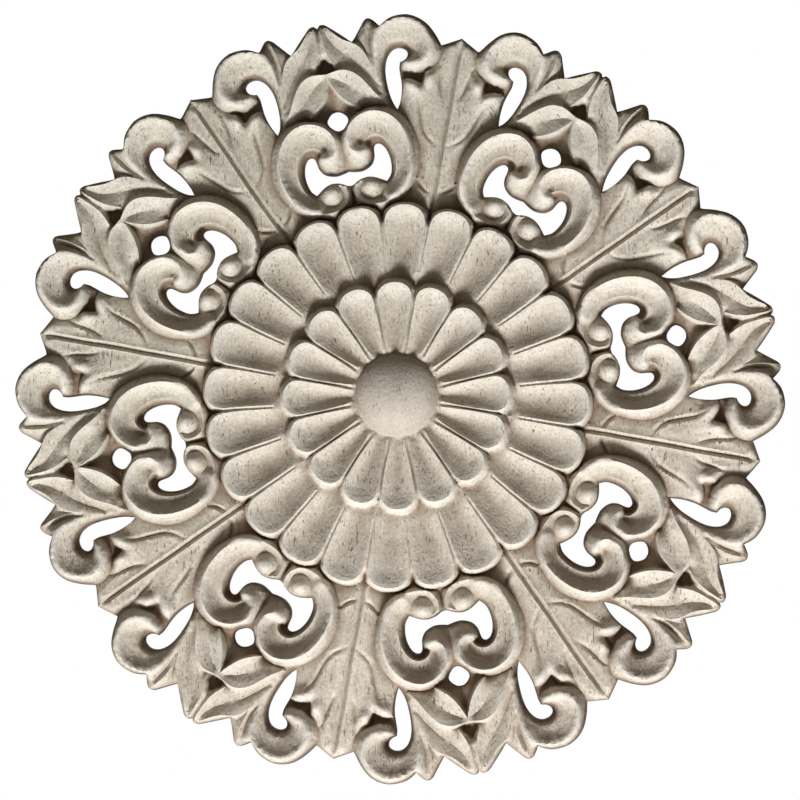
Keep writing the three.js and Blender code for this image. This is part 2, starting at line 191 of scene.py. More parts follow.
class Drawing:
    """Curves with heights. The surface folds at an edge, crease or ridge and passes a rim or round smoothly.
    A line has no height and only shapes the mesh."""

    def __init__(self):
        self.curves = []
        self.voids = []

    def curve(self, points, heights, kind="round", step=STEP_CURVE):
        heights = [heights] * len(points) if np.isscalar(heights) else heights
        run, values = smooth_run(points, heights, step)
        self.curves.append((run, values, kind))
        return run

    def corners(self, runs, heights, kind="crease", step=STEP_CURVE):
        """A line with corners, given as smooth runs, each of which starts where the last one ended."""
        parts, at = [], 0
        for run in runs:
            h = heights if np.isscalar(heights) else heights[at:at + len(run)]
            parts.append(self.curve(run, h, kind, step))
            at += len(run) - 1
        return np.vstack(parts)


def beside(run, off):
    """The line that runs beside another one, off to its left."""
    along = np.gradient(run, axis=0)
    across = np.column_stack([-along[:, 1], along[:, 0]]) / np.linalg.norm(along, axis=1)[:, None]
    return run + off * across


def draw_outline(d):
    h = RIM_EDGE_HEIGHT
    rim = d.corners([
        [(0, 381), (1.6, 384.2), (4.5, 385), (8.5, 384), (13, 380), (18.5, 374.6), (25, 368), (31.5, 361)],
        [(31.5, 361), (37, 367.3), (43.5, 375), (47.5, 379.4), (51.5, 381), (55.5, 379.6), (59.5, 375),
         (62.5, 370.5)],
        [(62.5, 370.5), (67, 373.6), (74, 376.6), (82, 377.5), (92, 376.4), (101.5, 371.6), (109.5, 363.5),
         (115.5, 351), (119.3, 337.5)],
        [(119.3, 337.5), (125, 338.2), (131, 338.9), polar(RIB_LENGTH, HALF_UNIT)],
    ], h, "edge")
    far = 470
    d.voids.append(np.vstack([rim, [polar(far, HALF_UNIT), polar(far, HALF_UNIT / 2), (0, far)]]))


def draw_piercings(d):
    e = SCROLL_EYE_HEIGHT
    foot = BALL_HEIGHT - 3.6
    heights = [e + 0.5, e + 1] + [foot] * 4 + [foot - 1]
    heights += [e] * 4 + [e - 0.8] + [e - 2] * 4 + [e - 1] + [e] * 5
    scroll = d.corners([
        [(0, 219), (3.5, 219.6), (6.5, 221.4)],
        [(6.5, 221.4), (11, 223.2), (18, 224.2), (25, 222.6), (31, 219.5), (36, 216.3)],
        [(36, 216.3), (41, 222), (43.6, 231), (43.8, 240), (41.5, 249), (38, 254), (34.6, 255.6),
         (31.2, 254.2), (29.8, 249.5), (28.6, 242.5), (24, 235.8), (14, 231.8), (6, 232.4), (0, 233.8)],
    ], heights, "edge")
    d.voids.append(np.vstack([scroll, [(-1, 226)]]))
    small = d.corners([
        [(0, 295.5), (3.4, 295), (7, 292.6), (9.6, 289.4), (10.6, 286.6), (9.4, 283), (6.4, 279.4),
         (3.4, 276.8), (0, 276)],
    ], PIT_HEIGHT, "edge")
    d.voids.append(np.vstack([small, [(-1, 286)]]))
    low = HOOK_EYE_HEIGHT
    leaf = LEAF_FOOT_HEIGHT - 0.5
    slot = d.corners([
        [(61.5, 284), (59, 290.5), (57.3, 298), (56.7, 308), (57.1, 320), (58.6, 329), (61.5, 336.4),
         (66, 342.2), (71.5, 345.2), (77, 345.1), (81.4, 343), (83.7, 339.3), (82.6, 335.3), (79.2, 332.4),
         (74, 331)],
        [(74, 331), (72.2, 326), (71.6, 319), (71.2, 312), (70.3, 306), (68.6, 299.5), (65.6, 291.8),
         (61.5, 284)],
    ], [leaf - 0.5] + [low] * 9 + [low - 1] * 5 + [PIT_HEIGHT] * 3 + [leaf] * 3 + [leaf - 0.5], "edge")
    d.voids.append(slot)


def draw_scroll(d):
    start = BALL_HEIGHT - 1.2
    top = SCROLL_HEIGHT
    end = top - SCROLL_FALL
    crest = [(4.6, 219.5), (3.8, 213), (4.4, 206.5), (7.2, 200.6), (11.5, 196.6), (17, 194.4), (28, 193.2),
             (42, 196.2), (54.5, 205.6), (62.6, 219.5), (66.4, 237), (65.2, 255), (59, 269.8), (48, 280.4),
             (35, 285), (22, 282.6), (11.5, 275), (6, 264.5), (6.8, 254.6), (12, 248.7), (18.8, 247.4),
             (24.6, 249.4)]
    heights = ramp(start - 1, start, 4) + [start] * 2 + ramp(start + 0.4, top, 4) + [top] * 7
    heights += ramp(top - 0.3, end, 5)
    run = d.curve(crest, heights)
    for off in (-1.9, -3.7):
        d.curve(beside(run, off)[24:-12], 0, "line")
    lip = [(34, 202.5), (45, 206), (54.4, 215.6), (60, 227), (62, 240), (60, 254), (54.3, 265.6),
           (45.5, 275.8), (35, 280), (24, 277.7), (15.8, 271.2), (11.4, 263.6), (11.7, 257.2), (15, 252.8),
           (19.5, 251.6)]
    d.curve(lip, ramp(start - 0.3, top - 2.1, 4) + [top - 2.1] * 7 + ramp(top - 2.3, end - 1.2, 4))
    mid = [(38, 207.5), (47, 214), (53.4, 226), (55, 240), (52.6, 253), (46.5, 263.6), (38.5, 270.4),
           (30, 271.4), (22.4, 267.4), (17.6, 261.6), (18, 256.6)]
    d.curve(mid, ramp(start - 1.4, top - 4.7, 4) + [top - 4.7] * 4 + ramp(top - 5.0, end - 3.9, 3))
    brink = [(40, 213.6), (46, 219.6), (49.3, 230), (49.6, 241), (46.8, 251.6), (41, 259.6), (34.6, 262.6),
             (28, 261.8), (23, 258.4), (21.4, 254.4)]
    d.curve(brink, ramp(start - 2.4, start - 1, 3) + [start - 1] * 3 + ramp(start - 1.2, start - 1.8, 4),
            "ridge")
    pit = [(38, 257.4), (34, 259), (29.6, 258.2), (26.4, 256), (25.2, 253.2)]
    d.curve(pit, ramp(SCROLL_EYE_HEIGHT - 1.4, SCROLL_EYE_HEIGHT - 1.8, 4) + [SCROLL_EYE_HEIGHT - 0.6],
            "crease")
    d.curve([(24.6, 249.4), (27.2, 250)], [end - 0.8, end - 3.4])
    wall = [(49, 193.4), (60.5, 203.5), (69.4, 216.5), (74.6, 230), (76.6, 243), (74.8, 257), (68.6, 271.6),
            (61, 281.6), (52.4, 288), (43, 291.4), (34, 292.3), (26, 291), (18.5, 288.2)]
    d.curve(wall, ramp(LEAF_FOOT_HEIGHT - 0.6, LEAF_FOOT_HEIGHT, 4) + [LEAF_FOOT_HEIGHT] * 5
            + ramp(LEAF_FOOT_HEIGHT, PIT_HEIGHT + 1.5, 4), "crease")
    shoulder = [(44, 194.2), (57.2, 204.6), (65.5, 218.2), (69.6, 236.6), (68.4, 256), (62, 271.6),
                (50, 283.2), (35.6, 288.2), (21, 285.4), (11.5, 279)]
    d.curve(shoulder, [start - 1] + [top - 2] * 7 + [top - 2.4, top - 2.8])
    drum = [(0, 245.5), (6.5, 243.4), (14, 241.6), (21.6, 243.2), (26.6, 247)]
    d.curve(drum, [end - 4.2, end - 1.8, end - 0.9, end - 1, end - 1.8])
    drum_low = [(0, 239), (7, 236.6), (14.4, 235.6), (23, 238.9), (28, 246)]
    d.curve(drum_low, [end - 4.8, end - 3.7, end - 3.2, end - 3.2, end - 4])


def draw_axis(d):
    """The lines on the middle of the unit, where its two halves meet."""
    end = SCROLL_HEIGHT - SCROLL_FALL
    eye = SCROLL_EYE_HEIGHT
    inner, outer = INNER_LEAF_HEIGHT, OUTER_LEAF_HEIGHT
    d.curve([(0, 196), (0, 201), (0, 209), (0, 219)], [LEAF_FOOT_HEIGHT - 0.6, 4.6, eye, eye + 0.5], "crease")
    d.curve([(0, 233.8), (0, 239), (0, 245.5), (0, 252), (0, 260), (0, 268), (0, 276)],
            [eye, end - 4.8, end - 4.2, end - 2.6, end - 1.8, end - 2.6, PIT_HEIGHT], "crease")
    d.curve([(0, 295.5), (0, 304), (0, 318), (0, 323), (0, 328)],
            [PIT_HEIGHT, 3.8, 5.4, inner - 3, inner - 1], "crease")
    d.curve([(0, 328), (0, 331)], [inner - 1, inner - 0.8], "ridge")
    d.curve([(0, 331), (0, 335)], [inner - 0.8, PIT_HEIGHT], "line")
    d.curve([(0, 335), (0, 347)], PIT_HEIGHT, "crease")
    d.curve([(0, 347), (0, 353)], [PIT_HEIGHT, outer - 1.4], "line")
    d.curve([(0, 353), (0, 366), (0, 381)], [outer - 1.4, outer - 1.1, RIM_EDGE_HEIGHT], "crease")


def draw_ball(d):
    cx, cy, r = 20.5, 211.7, 11.6
    ring = [(cx + r * math.cos(a), cy + r * math.sin(a)) for a in np.radians(np.linspace(150, 384, 16))]
    d.curve(ring, BALL_HEIGHT - 3.8, "crease")
    lean = 2.5
    for share in (0.84, 0.55):
        middle = cy + lean * (1 - share)
        turn = np.radians(np.linspace(0, 360, 19))
        ring = [(cx + r * share * math.cos(a), middle + r * share * math.sin(a)) for a in turn]
        d.curve(ring, BALL_HEIGHT - 6.4 * (1 - math.sqrt(1 - share * share)))
    d.curve([(cx - 1, cy + lean), (cx + 1, cy + lean)], BALL_HEIGHT)
    d.curve([(9.6, 221), (6.4, 214.5), (6.6, 208), (9.4, 201.8), (14.6, 198), (21, 196.6), (30, 197)],
            BALL_HEIGHT - 2.6)


def draw_inner_leaf(d):
    top = INNER_LEAF_HEIGHT
    d.curve([(0, 328), (2.8, 320.6), (6.2, 313), (10.5, 305.8), (15.5, 299.9), (20.5, 295.4), (25.6, 291.8)],
            [top - 1] + [top - 0.4] * 4 + [top - 1.2, top - 2.8], "ridge")
    d.curve([(0, 318), (2.6, 313), (6.4, 306), (11.6, 300), (16.6, 295), (22, 291)],
            [5.4, 5.6, 5.2, 5.0, 4.8, 4.6], "crease")
    d.curve([(0.5, 303), (5.5, 298.5), (10, 294), (14.5, 290.2), (18.5, 288.2)],
            [3.8, 3.8, 3.6, 3.4, PIT_HEIGHT + 1.2], "round")
    d.curve([(3.6, 327.4), (9.6, 324.6), (16.6, 319.3), (22, 313.8), (28.5, 307), (35.4, 299.8), (42, 293.2)],
            [top - 1.2] + [top - CREASE_DEPTH - 0.4] * 5 + [top - CREASE_DEPTH - 0.8], "crease")
    d.curve([(0, 331), (8, 332), (17, 332.2), (26, 328.6), (33, 321.4), (39, 311.6), (45, 300.6), (52, 291)],
            [top - 0.8, top - 0.2] + [top] * 4 + [top - 1, top - 2.6], "ridge")
    d.curve([(8, 328.6), (16.4, 326.6), (24, 321.6), (31, 314.4), (37, 305.6), (43.4, 297)],
            [top - 1.1] + [top - 1.0] * 4 + [top - 2.2], "round")
    foot = OUTER_LEAF_HEIGHT - 1.2
    d.curve([(5, 335.2), (10.6, 335.8), (19, 335.8), (28.4, 332.2), (36.4, 324), (42.6, 313.6), (48, 302)],
            [PIT_HEIGHT, foot - 2, foot, foot, foot, foot, foot - 0.4], "crease")


def draw_outer_leaf(d):
    top = OUTER_LEAF_HEIGHT
    d.curve([(2.6, 380), (3, 372), (3.3, 362), (4.6, 352.4), (7.2, 345), (10.6, 338.4)],
            [top - 1.2, top, top, top, top, top - 0.6], "ridge")
    d.curve([(6.6, 378.4), (8, 371), (12, 361.2), (19.8, 351.2), (28, 342.6), (36, 332.4), (42.4, 322.4),
             (49, 309.6)],
            [top - 1.6] + [top - CREASE_DEPTH - 0.3] * 6 + [top - CREASE_DEPTH], "crease")
    d.curve([(13.6, 369.4), (20, 359.4), (28.4, 352), (36, 342.4), (41.8, 331.6), (46.6, 318)],
            [top - 0.9, top - 0.9, top - 1, top - 1, top - 1.1, top - 1.3], "round")
    d.curve([(11, 377.4), (16.4, 369.4), (23, 362.9), (31, 358.2), (39, 350.5), (43.6, 340.6), (47, 328),
             (50.8, 313)],
            [top - 1] + [top] * 3 + ramp(top - 0.2, top - 1, 4), "ridge")


def draw_leaflet(d):
    top = LEAFLET_HEIGHT
    d.curve([(44, 345), (44.8, 354), (46.2, 364), (49.6, 374.6)], [top - 0.6, top, top, top - 0.6], "ridge")
    d.curve([(32.5, 359.5), (37.5, 359), (41.4, 352.5), (43.6, 345)],
            [top - 2.4, top - 1.8, top - 1.6, top - 1.2], "crease")
    d.curve([(48.6, 333), (48.4, 344), (48.6, 354), (50.6, 364), (52.6, 374.2)],
            [top - 0.2, top - 1.2, top - 1.9, top - 1.9, top - 1.6], "crease")


def draw_hook(d):
    top = HOOK_HEIGHT
    start = OUTER_LEAF_HEIGHT - 0.8
    d.curve([(50.4, 326), (50.6, 336), (51.2, 346), (53.6, 356), (59, 363.8), (68.5, 369.2), (80, 370.9),
             (92, 368.4), (102, 360.8), (108.4, 349.4), (109, 337.4), (104.4, 327.8), (96.4, 323),
             (87.5, 323), (81, 326.4)],
            [start - 0.2, start + 0.2, start + 1] + ramp(start + 2, top, 3) + [top] * 6
            + [top - 0.6, top - 1.2, top - HOOK_FALL])
    d.curve([(81, 326.4), (77.5, 329), (74, 331)], [top - HOOK_FALL, top - 4, HOOK_EYE_HEIGHT + 0.4])
    d.curve([(55.6, 346), (58.4, 354), (63.4, 360.2), (71.4, 364.4), (80.6, 365.6), (90, 363.4),
             (97.6, 357.4), (102.6, 348.4), (103.2, 339), (99.6, 331.6), (93.6, 327.9), (87.2, 328)],
            [start + 0.6] + ramp(start + 1.6, top - 1.3, 3) + [top - 1.3] * 6 + [top - 1.8, top - 2.2])
    d.curve([(54.4, 322), (55.2, 334), (58.6, 344.6), (64, 351.4), (71.4, 355.4), (79.6, 355.6), (87.4, 352),
             (92.4, 345.4), (93.4, 338.6), (91, 333.6)],
            [start - 1.4, start - 1, start - 0.6] + ramp(start - 0.2, top - 3.3, 3)
            + [top - 3.4, top - 3.4, top - 3.7, top - 4.2])
    d.curve([(60.4, 338.5), (63.6, 344), (69, 348.4), (75.6, 350), (82, 348.6), (86.6, 344.8), (88.4, 339.6),
             (87, 334.4), (84, 331.6)],
            ramp(start - 2, start - 1, 4) + [start - 0.9, start - 1.1, start - 1.8, start - 2.8, start - 3.6])
    d.curve([(58, 298), (54.6, 303), (54.2, 313), (54.4, 322)],
            [LEAF_FOOT_HEIGHT, start - 1.8, start - 1.6, start - 1.4])
    d.curve([(66.6, 371), (79.6, 374.4), (93.4, 372.4), (104.6, 364.6), (112, 351), (113.4, 336.6),
             (108, 324.6), (98, 318.8)],
            [top - 2.6] * 5 + [top - 2.4, top - 2.4, top - 2.6])
    d.curve([(119.3, 337.5), (117.4, 329), (112.6, 321.8), (105, 317), (96.6, 314.8)],
            [RIM_EDGE_HEIGHT] + [LEAF_FOOT_HEIGHT] * 3 + [PIT_HEIGHT + 1.6], "crease")
    d.curve([(96.6, 314.8), (88, 314.4), (80, 316.4), (74.6, 319.6), (72, 322)],
            [PIT_HEIGHT + 1.6] + [PIT_HEIGHT + 0.8] * 3 + [PIT_HEIGHT], "crease")
    d.curve([(98, 318.8), (88.6, 318.2), (80.4, 321.4), (75.6, 325)],
            [top - 2.6, top - 2.6, top - 3.2, top - 4.6])


def draw_pits(d):
    d.curve([(5, 335.2), (6.2, 339.4), (3.2, 343.4), (0, 347)], PIT_HEIGHT, "crease")
    leaf = BROAD_LEAF_HEIGHT - 0.5
    d.corners([[(71.4, 310.6), (79.8, 309.4), (85.6, 306), (91, 301.2)],
               [(91, 301.2), (94.8, 306.6), (98.4, 313.4)]],
              [leaf - 0.6, leaf, leaf, leaf, leaf, leaf - 0.8], "round")
    d.corners([[(72.6, 314), (80.4, 312.6), (86.4, 309.6), (90.8, 305.4)],
               [(90.8, 305.4), (92.6, 309), (94.4, 313.4)]], PIT_HEIGHT, "crease")


def draw_broad_leaf(d):
    rib = [polar(r, HALF_UNIT) for r in (182.6, 240, 300, RIB_LENGTH)]
    d.curve(rib, [LEAF_FOOT_HEIGHT, BROAD_LEAF_HEIGHT, BROAD_LEAF_HEIGHT, BROAD_LEAF_HEIGHT - 0.6], "round")
    for off in (1.7, 3.6, 6.0):
        d.curve([polar(r, HALF_UNIT - off / r) for r in (187, 230, 280, 320, 358)], 0, "line")
    d.curve([(88, 215), (96, 245), (97, 275), (104, 300), (118, 318), (129, 333)],
            BROAD_LEAF_HEIGHT + 0.2, "round", 6)
    d.curve([(82, 250), (84, 275), (76, 296)], BROAD_LEAF_HEIGHT - 0.4, "round", 6)
    for vein in VEINS:
        run = d.curve(vein, 0, "line", 2.4)
        for off in (1.5, -1.5):
            d.curve(beside(run, off)[1:-1], 0, "line", 2.4)


VEINS = [
    [(81.2, 300), (82.8, 290), (83, 278), (82.4, 265), (83.6, 254), (87.4, 245.6), (93, 238)],
    [(113.4, 321), (112.6, 314), (110.2, 303), (108.6, 292), (108.8, 283)],
    [(65.4, 210), (67.4, 203), (71, 197), (75, 192.6)],
]


def petal_points(lean, side, points):
    out = []
    for x, y in points:
        x *= side
        out.append((x * math.cos(lean) + y * math.sin(lean), y * math.cos(lean) - x * math.sin(lean)))
    return out


INNER_RIM = [(6.4, 46), (9.4, 58), (13.2, 75), (15.4, 88), (17.0, 98), (16.6, 103), (13.4, 108), (7.4, 112),
             (0, 113.2)]
INNER_FOOT = [(20.7, 104), (20, 108.5), (16, 114.4), (8.6, 118.3), (0, 119.5)]
OUTER_RIM = [(14.4, 123), (16.2, 138), (18, 152), (19.4, 165), (20.1, 175), (18.6, 181.6), (14.6, 187),
             (7.6, 190.6), (0, 191.7)]
OUTER_FOOT = [(23.8, 181), (23, 186), (18, 191.2), (9.6, 195.4), (0, 196.6)]


def between(a, b, share):
    """The points that lie a share of the way from one list of points to another."""
    return [(p[0] + (q[0] - p[0]) * share, p[1] + (q[1] - p[1]) * share) for p, q in zip(a, b)]


def draw_ring(d, leans, rim, foot, top, rise, low):
    """One ring of petals. A petal is drawn about its middle line, leaning from the middle of the unit."""
    n = len(foot)
    rim_tail = rim[-n:]
    rim_heights = ramp(top - rise, top, len(rim) - n + 1) + [top] * (n - 1)
    for lean, sides in leans:
        for side in sides:
            d.curve(petal_points(lean, side, rim), rim_heights, "rim", 2.4)
            bank = between(rim_tail, foot, 0.42)
            d.curve(petal_points(lean, side, bank[1:]), top - 1.3, "round", 2.6)
            if low is None:
                d.curve(petal_points(lean, side, foot), 0, "line", 2.6)
            else:
                d.curve(petal_points(lean, side, foot), low, "crease", 2.6)


def draw_petals(d):
    ring, petal_start = INNER_RING_HEIGHT, INNER_RING_HEIGHT - INNER_PETAL_RISE
    inner_groove = [(BUTTON_RADIUS + 1.8, petal_start - 0.9), (75, petal_start - 1.3),
                    (98, ring - 1.9), (106, PETAL_FOOT_HEIGHT)]
    outer_groove = [(106, PETAL_FOOT_HEIGHT), (112, OUTER_RING_HEIGHT - 2.0), (150, OUTER_RING_HEIGHT - 1.6),
                    (174, OUTER_RING_HEIGHT - 1.8), (182.6, LEAF_FOOT_HEIGHT)]
    for angle in (0, HALF_UNIT):
        d.curve([polar(r, angle) for r, _ in inner_groove], [h for _, h in inner_groove], "crease", 3)
    d.curve([polar(r, HALF_UNIT) for r, _ in outer_groove], [h for _, h in outer_groove], "crease", 3)
    between_groove = [(119.4, OUTER_RING_HEIGHT - 1.9)] + outer_groove[2:]
    d.curve([polar(r, OUTER_SPREAD) for r, _ in between_groove], [h for _, h in between_groove], "crease", 3)
    d.curve([(0, 107), (0, 191.7)], 0, "line", 3)
    d.curve([(0, 191.7), (0, 196.6)], [OUTER_RING_HEIGHT, LEAF_FOOT_HEIGHT - 0.8], "line", 2.6)
    draw_ring(d, ((INNER_SPREAD, (1, -1)),), INNER_RIM, INNER_FOOT, INNER_RING_HEIGHT, INNER_PETAL_RISE, None)
    draw_ring(d, ((0, (1,)), (2 * OUTER_SPREAD, (1, -1))), OUTER_RIM, OUTER_FOOT,
              OUTER_RING_HEIGHT, OUTER_PETAL_RISE, LEAF_FOOT_HEIGHT - 0.8)
    for radius in (BUTTON_RADIUS, BUTTON_RADIUS + 1.8):
        d.curve([polar(radius, a) for a in np.linspace(0, HALF_UNIT, 8)], 0, "line", 2.4)
    for angle in (HALF_UNIT, 0):
        d.curve([(0, 0), polar(41, angle)], 0, "line", 3)


# Geometry helpers on many points at once

def distance_to(points, line):
    """Distance of each point to a line, and how far along the line the nearest place lies, from 0 to 1."""
    best = np.full(len(points), 1e9)
    along = np.zeros(len(points))
    seg = np.linalg.norm(np.diff(line, axis=0), axis=1)
    start = np.concatenate([[0], np.cumsum(seg)])
    for i in range(len(line) - 1):
        a, b = line[i], line[i + 1]
        ab = b - a
        t = np.clip(((points - a) @ ab) / max(ab @ ab, 1e-9), 0, 1)
        dist = np.linalg.norm(points - (a + t[:, None] * ab), axis=1)
        closer = dist < best
        best = np.where(closer, dist, best)
        along = np.where(closer, (start[i] + t * seg[i]) / start[-1], along)
    return best, along


def inside(points, polygon):
    x, y = points[:, 0], points[:, 1]
    result = np.zeros(len(points), bool)
    for (ax, ay), (bx, by) in zip(polygon, np.roll(polygon, -1, axis=0)):
        hit = (ay > y) != (by > y)
        with np.errstate(divide="ignore", invalid="ignore"):
            cross = (bx - ax) * (y - ay) / (by - ay) + ax
        result ^= hit & (x < cross)
    return result


def twice_area(a, b, c):
    """Twice the area of triangles, above 0 where their corners run anticlockwise."""
    ab, ac = b - a, c - a
    return ab[..., 0] * ac[..., 1] - ab[..., 1] * ac[..., 0]


def scoop_heights(points):
    """Heights of the button and of the hollows of the petals, where they rule, and not a number elsewhere."""
    r = np.hypot(points[:, 0], points[:, 1])
    angle = np.arctan2(points[:, 0], points[:, 1])
    z = np.full(len(points), np.nan)
    rings = (
        (OUTER_SPREAD, 0.0, OUTER_RIM, OUTER_RING_HEIGHT, OUTER_PETAL_RISE, 18.0),
        (INNER_SPREAD, INNER_SPREAD, INNER_RIM, INNER_RING_HEIGHT, INNER_PETAL_RISE, 15.5),
    )
    for spread, centre, rim, top, rise, reach in rings:
        off = np.abs((angle - centre + spread) % (2 * spread) - spread)
        local = np.column_stack([r * np.sin(off), r * np.cos(off)])
        line, _ = smooth_run(rim, [0] * len(rim), 1.5)
        start = line[0]
        petal = np.vstack([line, [(0, start[1] - 30)], [(start[0] * 0.62, start[1] - 30)]])
        to_rim, _ = distance_to(local, line)
        tip = top - rise * np.clip((rim[-4][1] - local[:, 1]) / (rim[-4][1] - start[1]), 0, 1)
        depth = SCOOP_DEPTH * (1 - (1 - np.clip(to_rim - 0.8, 0, reach) / reach) ** 2)
        along = np.clip((local[:, 1] - start[1]) / (line[-1][1] + 6 - start[1]), 0, 1)
        depth *= 1 - 0.8 * along ** 2
        if spread == OUTER_SPREAD:
            depth *= 0.55 + 0.45 * np.clip((local[:, 1] - 115) / 30, 0, 1)
        if spread == INNER_SPREAD:
            foot, _ = smooth_run(INNER_FOOT, [0] * len(INNER_FOOT), 1.5)
            outer = np.vstack([foot, [(0, 40)], [(8, 40)]])
            to_foot, _ = distance_to(local, foot)
            z = np.where(inside(local, outer) & (to_foot > 0.4), np.nan, z)
            z = np.where(r < 104, np.nan, z)
        z = np.where(inside(local, petal) & (to_rim > 1.0), tip - depth, z)
    edge = BUTTON_HEIGHT - BUTTON_DOME
    share = np.clip(r / BUTTON_RADIUS, 0, 1)
    ball = (0.5 * BUTTON_DIAMETER) ** 2 / (2 * BUTTON_DOME) + 0.5 * BUTTON_DOME
    dome = BUTTON_HEIGHT - ball + np.sqrt(ball ** 2 - (share * 0.5 * BUTTON_DIAMETER) ** 2)
    z = np.where(r <= BUTTON_RADIUS + 0.01, dome, z)
    moat = (r > BUTTON_RADIUS + 0.01) & (r < BUTTON_RADIUS + MOAT_WIDTH)
    return np.where(moat, edge - MOAT_DEPTH, z)


# The mesh of the half unit

def draw_half():
    """Every curve of the half unit."""
    d = Drawing()
    for draw in (draw_outline, draw_piercings, draw_scroll, draw_axis, draw_ball, draw_inner_leaf,
                 draw_outer_leaf, draw_leaflet, draw_hook, draw_pits, draw_broad_leaf, draw_petals):
        draw(d)
    return d


def fill_points(curve_points, voids):
    """Points on a staggered grid, in the wood of the half unit and clear of its curves."""
    fill = []
    row = 0
    v = 2.0
    while v < PATTERN_SQUARES + 1:
        step = STEP_PETAL if v < PETALS_END else STEP_UNIT
        row += 1
        u = (step / 2 if row % 2 else step) * 0.98
        while u < v * math.tan(HALF_UNIT) + 1:
            fill.append((u, v))
            u += step
        v += step * ROW_SHARE
    fill = np.array(fill)
    keep = (fill[:, 0] > CLEAR_OF_SIDES) & (-(fill @ RIB_NORMAL) > CLEAR_OF_SIDES)
    for polygon in voids:
        keep &= ~inside(fill, polygon)
    fill = fill[keep]
    near = np.full(len(fill), 1e9)
    for start in range(0, len(curve_points), 400):
        block = curve_points[start:start + 400]
        near = np.minimum(near, np.sqrt(((fill[:, None] - block[None]) ** 2).sum(2)).min(1))
    return fill[near > CLEAR_OF_CURVES]


def settle(p):
    """The point, set on a straight side of the half unit where it lies a hair off it."""
    p = np.array(p, float)
    if abs(p[0]) < SETTLE:
        p[0] = 0
    off = p @ RIB_NORMAL
    if abs(off) < SETTLE:
        p = p - off * RIB_NORMAL
    return p


def triangulate(d):
    """The plan of the half unit as triangles, what is drawn at each vertex, and which lie on each side."""
    points, drawn, edges = [], [], []
    for run, values, kind in d.curves:
        base = len(points)
        edges += [(base + i - 1, base + i) for i in range(1, len(run))]
        points += [tuple(p) for p in run]
        drawn += [(kind, h) for h in values]
    fill = fill_points(np.array(points), d.voids)
    placed = [Vector(settle(p)) for p in points] + [Vector(p) for p in fill]
    out = delaunay_2d_cdt(placed, edges, [], 0, SNAP)
    verts = np.array([tuple(v) for v in out[0]])
    tri = np.array([f for f in out[2] if len(f) == 3])

    # triangles in the wood, without slivers and those that lie flat on a straight side
    centre = verts[tri].mean(axis=1)
    ok = (centre[:, 0] > 0) & ((centre @ RIB_NORMAL) < 0)
    for polygon in d.voids:
        ok &= ~inside(centre, polygon)
    area = twice_area(verts[tri[:, 0]], verts[tri[:, 1]], verts[tri[:, 2]])
    ok &= np.abs(area) > 1e-5
    on_axis = np.abs(verts[:, 0]) < ON_SIDE
    on_rib = np.abs(verts @ RIB_NORMAL) < ON_SIDE
    ok &= ~(on_axis[tri].all(axis=1) | on_rib[tri].all(axis=1))
    tri, area = tri[ok], area[ok]
    tri[area < 0] = tri[area < 0][:, ::-1]

    # the vertices in use, each on a side exactly or not at all
    used, tri = np.unique(tri, return_inverse=True)
    tri = tri.reshape(-1, 3)
    verts = verts[used]
    drawn = [[drawn[j] for j in out[3][i] if j < len(drawn) and drawn[j][0] != "line"] for i in used]
    verts[np.abs(verts[:, 0]) < ON_SIDE, 0] = 0
    off = verts @ RIB_NORMAL
    on_rib = np.abs(off) < ON_SIDE
    verts[on_rib] -= off[on_rib][:, None] * RIB_NORMAL
    return verts, tri, drawn, (verts[:, 0] == 0, on_rib)


def known_heights(verts, drawn):
    """The height known at each vertex, how firmly it holds, and where the surface folds or has its edge."""
    n = len(verts)
    target = np.full(n, np.nan)
    weight = np.zeros(n)
    sharp = np.zeros(n, bool)
    edge = np.zeros(n, bool)
    for i, known in enumerate(drawn):
        if not known:
            continue
        best = max(RANK[kind] for kind, _ in known)
        values = [h for kind, h in known if RANK[kind] == best]
        target[i] = sum(values) / len(values)
        weight[i] = HOLD[best]
        sharp[i] = best > RIM_RANK
        edge[i] = best == EDGE_RANK
    scoops = scoop_heights(verts)
    ruled = ~np.isnan(scoops) & np.isnan(target)
    weight = np.where(ruled, SCOOP_HOLD, weight)
    button = ~np.isnan(scoops) & (np.hypot(verts[:, 0], verts[:, 1]) < BUTTON_RADIUS + MOAT_WIDTH)
    target = np.where(ruled | button, scoops, target)
    weight = np.where(button, BUTTON_HOLD, weight)
    return target, weight, sharp | button, edge


def smoothest(pairs, target, weight, sharp, sides):
    """The smoothest surface past the known heights. A straight side counts as a mirror."""
    n = len(target)
    neighbours = [[] for _ in range(n)]
    for i, j in pairs:
        neighbours[i].append(j)
        neighbours[j].append(i)
    matrix = np.zeros((n, n))
    rhs = np.zeros(n)
    known = weight > 0
    matrix[np.arange(n), np.arange(n)] += weight + 1e-7
    rhs[known] += weight[known] * target[known]
    for i in range(n):
        if sharp[i]:
            continue
        near = np.array(neighbours[i])
        share = np.ones(len(near))
        for side in sides:
            if side[i]:
                share = np.where(side[near], 1.0, 2.0)
                break
        share /= share.sum()
        ids = np.concatenate([[i], near])
        row_values = np.concatenate([[1.0], -share])
        matrix[np.ix_(ids, ids)] += SMOOTHING * np.outer(row_values, row_values)
    return np.linalg.solve(matrix, rhs)


